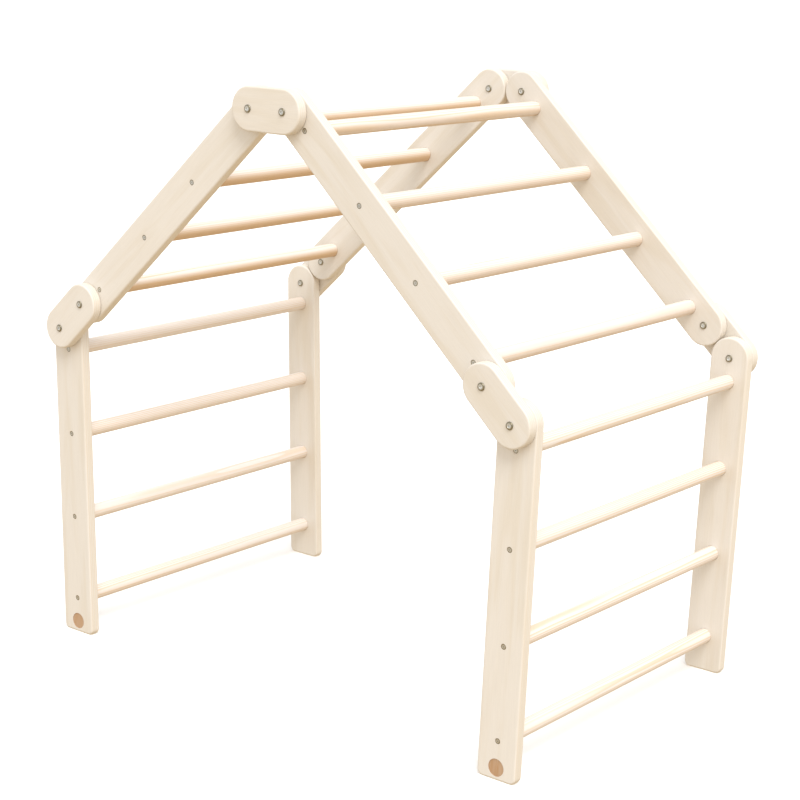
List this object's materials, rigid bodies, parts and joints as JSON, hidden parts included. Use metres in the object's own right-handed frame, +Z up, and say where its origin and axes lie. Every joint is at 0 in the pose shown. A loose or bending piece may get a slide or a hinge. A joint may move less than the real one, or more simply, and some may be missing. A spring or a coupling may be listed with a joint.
{
  "type": "folding climbing arch",
  "caption": "Folding wooden climbing arch for toddlers: ladder panels of plywood stiles and round rungs, joined in a chain by pairs of pivoting link plates.",
  "frame": {"origin": "on the floor, under the middle of the arch as it stands in the house shape", "axes": "+Z up, +X across the arch from one leg panel to the other, +Y along the rungs, towards the back flank"},
  "size_m": [1.0244, 0.6568, 0.9948],
  "materials": {
    "birch_plywood": "pale birch plywood, clear matt finish, softened edges showing thin ply lines",
    "rung_wood": "round softwood rod, clear matt finish, straight warm grain",
    "zinc_plated_steel": "bright zinc plating, semi-gloss"
  },
  "bodies": {
    "apex_link": {"apex_front_plate": "birch_plywood", "apex_front_left_bolt": "zinc_plated_steel", "apex_front_left_nut": "zinc_plated_steel", "apex_front_right_bolt": "zinc_plated_steel", "apex_front_right_nut": "zinc_plated_steel", "apex_back_plate": "birch_plywood", "apex_back_left_bolt": "zinc_plated_steel", "apex_back_left_nut": "zinc_plated_steel", "apex_back_right_bolt": "zinc_plated_steel", "apex_back_right_nut": "zinc_plated_steel"},
    "left_roof_panel": {"left_roof_front_stile": "birch_plywood", "left_roof_back_stile": "birch_plywood", "left_roof_rung_1": "rung_wood", "left_roof_rung_2": "rung_wood", "left_roof_rung_3": "rung_wood", "left_roof_rung_4": "rung_wood"},
    "left_eave_link": {"left_eave_front_plate": "birch_plywood", "left_eave_front_upper_bolt": "zinc_plated_steel", "left_eave_front_upper_nut": "zinc_plated_steel", "left_eave_front_lower_bolt": "zinc_plated_steel", "left_eave_front_lower_nut": "zinc_plated_steel", "left_eave_back_plate": "birch_plywood", "left_eave_back_upper_bolt": "zinc_plated_steel", "left_eave_back_upper_nut": "zinc_plated_steel", "left_eave_back_lower_bolt": "zinc_plated_steel", "left_eave_back_lower_nut": "zinc_plated_steel"},
    "left_leg_panel": {"left_leg_front_stile": "birch_plywood", "left_leg_back_stile": "birch_plywood", "left_leg_rung_1": "rung_wood", "left_leg_rung_2": "rung_wood", "left_leg_rung_3": "rung_wood", "left_leg_rung_4": "rung_wood"},
    "right_roof_panel": {"right_roof_front_stile": "birch_plywood", "right_roof_back_stile": "birch_plywood", "right_roof_rung_1": "rung_wood", "right_roof_rung_2": "rung_wood", "right_roof_rung_3": "rung_wood", "right_roof_rung_4": "rung_wood"},
    "right_eave_link": {"right_eave_front_plate": "birch_plywood", "right_eave_front_upper_bolt": "zinc_plated_steel", "right_eave_front_upper_nut": "zinc_plated_steel", "right_eave_front_lower_bolt": "zinc_plated_steel", "right_eave_front_lower_nut": "zinc_plated_steel", "right_eave_back_plate": "birch_plywood", "right_eave_back_upper_bolt": "zinc_plated_steel", "right_eave_back_upper_nut": "zinc_plated_steel", "right_eave_back_lower_bolt": "zinc_plated_steel", "right_eave_back_lower_nut": "zinc_plated_steel"},
    "right_leg_panel": {"right_leg_front_stile": "birch_plywood", "right_leg_back_stile": "birch_plywood", "right_leg_rung_1": "rung_wood", "right_leg_rung_2": "rung_wood", "right_leg_rung_3": "rung_wood", "right_leg_rung_4": "rung_wood"}
  },
  "joints": [
    {"name": "left_apex_pivot", "type": "hinge", "parent": "apex_link", "child": "left_roof_panel", "pos_m": [-0.0355, 0, 0.95984], "axis": [0, -1, 0], "range_deg": [-42.7, 47.3]},
    {"name": "left_eave_upper_pivot", "type": "hinge", "parent": "left_roof_panel", "child": "left_eave_link", "pos_m": [-0.425, 0, 0.60042], "axis": [0, 1, 0], "range_deg": [-90, 90]},
    {"name": "left_eave_lower_pivot", "type": "hinge", "parent": "left_eave_link", "child": "left_leg_panel", "pos_m": [-0.47718, 0, 0.55227], "axis": [0, 1, 0], "range_deg": [-41.05, 138.95]},
    {"name": "right_apex_pivot", "type": "hinge", "parent": "apex_link", "child": "right_roof_panel", "pos_m": [0.0355, 0, 0.95984], "axis": [0, 1, 0], "range_deg": [-42.7, 47.3]},
    {"name": "right_eave_upper_pivot", "type": "hinge", "parent": "right_roof_panel", "child": "right_eave_link", "pos_m": [0.425, 0, 0.60042], "axis": [0, -1, 0], "range_deg": [-90, 90]},
    {"name": "right_eave_lower_pivot", "type": "hinge", "parent": "right_eave_link", "child": "right_leg_panel", "pos_m": [0.47718, 0, 0.55227], "axis": [0, -1, 0], "range_deg": [-41.05, 138.95]}
  ]
}
